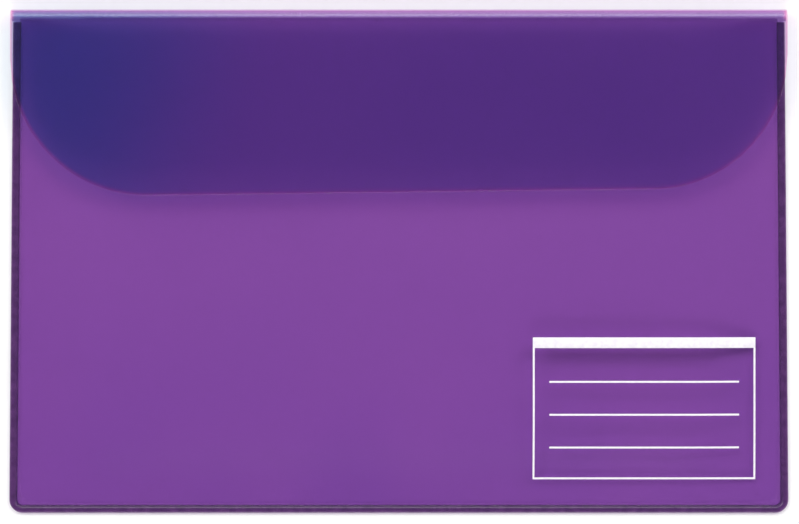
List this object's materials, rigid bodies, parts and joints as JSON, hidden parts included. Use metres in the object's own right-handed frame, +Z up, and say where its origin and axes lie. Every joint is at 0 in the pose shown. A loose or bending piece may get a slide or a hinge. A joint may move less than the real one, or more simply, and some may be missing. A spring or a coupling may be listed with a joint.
{
  "type": "portfolio case",
  "caption": "Flat see-through vinyl document case: an open-topped pocket with a pressed weld on its sides and foot and a round-cornered flap that folds over the mouth.",
  "frame": {"origin": "on the table under the middle of the closed case, which lies on its back", "axes": "+X across the case, +Y from the foot towards the fold, +Z up through the film and the flap"},
  "size_m": [0.2362, 0.1524, 0.0058],
  "materials": {
    "film": "glossy see-through purple vinyl film",
    "weld": "pressed and fused purple vinyl"
  },
  "bodies": {
    "case": {"back_panel": "film", "front_panel": "film", "flap_fold": "film", "left_weld": "weld", "right_weld": "weld", "bottom_weld": "weld"},
    "flap": {"flap": "film"}
  },
  "joints": [
    {"name": "flap_hinge", "type": "hinge", "parent": "case", "child": "flap", "pos_m": [0, 0.0733, 0.0029], "axis": [-1, 0, 0], "range_deg": [0, 180], "deforming": ["flap_fold"]}
  ]
}
